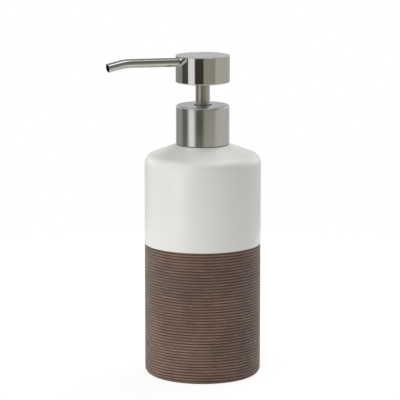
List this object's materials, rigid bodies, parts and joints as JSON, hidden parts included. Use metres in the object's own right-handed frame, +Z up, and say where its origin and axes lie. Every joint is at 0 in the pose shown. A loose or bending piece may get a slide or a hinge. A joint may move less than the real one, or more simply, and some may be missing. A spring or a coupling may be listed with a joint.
{
  "type": "pump soap dispenser",
  "caption": "Cylindrical stoneware soap bottle, glazed above and ribbed below, with a steel collar, a cylindrical steel pump head and a slim bent spout.",
  "frame": {"origin": "centre of the bottle's flat foot, on the axis of the bottle and the pump", "axes": "+Z up along the pump's axis, -Y along the spout, from the head towards the open end"},
  "size_m": [0.071, 0.0984, 0.1968],
  "materials": {
    "glazed_stoneware": "satin",
    "bare_stoneware": "matte",
    "stainless_steel": "polished",
    "spring_steel": "satin",
    "ball_steel": "polished",
    "natural_plastic": "satin",
    "black_plastic": "satin",
    "soft_seal": "matte"
  },
  "bodies": {
    "bottle": {"bottle": "glazed_stoneware", "neck_grommet": "soft_seal", "neck_insert": "natural_plastic"},
    "pump": {"neck_gasket": "soft_seal", "pump_housing": "natural_plastic", "stem_guide": "black_plastic", "ball_cage": "natural_plastic", "return_spring": "spring_steel", "dip_tube": "natural_plastic"},
    "collar": {"screw_cap": "natural_plastic", "collar_shell": "stainless_steel"},
    "piston": {"piston": "soft_seal"},
    "head": {"piston_stem": "natural_plastic", "stem_sleeve": "stainless_steel", "actuator_core": "black_plastic", "head_shell": "stainless_steel", "head_base_plate": "stainless_steel", "spout_tube": "stainless_steel"},
    "inlet_valve": {"inlet_ball": "ball_steel"},
    "outlet_valve": {"outlet_ball": "ball_steel"}
  },
  "joints": [
    {"name": "pump_rise", "type": "slide", "parent": "bottle", "child": "pump", "axis": [0, 0, 1], "range_m": [0, 0.0063]},
    {"name": "collar_turn", "type": "hinge", "parent": "pump", "child": "collar", "pos_m": [0, 0, 0.1545], "axis": [0, 0, 1], "range_deg": [0, 540]},
    {"name": "pump_stroke", "type": "slide", "parent": "pump", "child": "piston", "axis": [0, 0, -1], "range_m": [0, 0.0133], "stiffness_N_per_m": 700, "springref_m": -0.0086, "deforming": ["return_spring"]},
    {"name": "head_turn", "type": "hinge", "parent": "piston", "child": "head", "pos_m": [0, 0, 0.1885], "axis": [0, 0, 1], "continuous": true},
    {"name": "inlet_lift", "type": "slide", "parent": "pump", "child": "inlet_valve", "axis": [0, 0, 1], "range_m": [0, 0.0016]},
    {"name": "outlet_lift", "type": "slide", "parent": "head", "child": "outlet_valve", "axis": [0, 0, 1], "range_m": [0, 0.0013]}
  ],
  "couplings": [
    {"joint": "pump_rise", "follows": "collar_turn", "m_per_rad": 0.00066845}
  ]
}
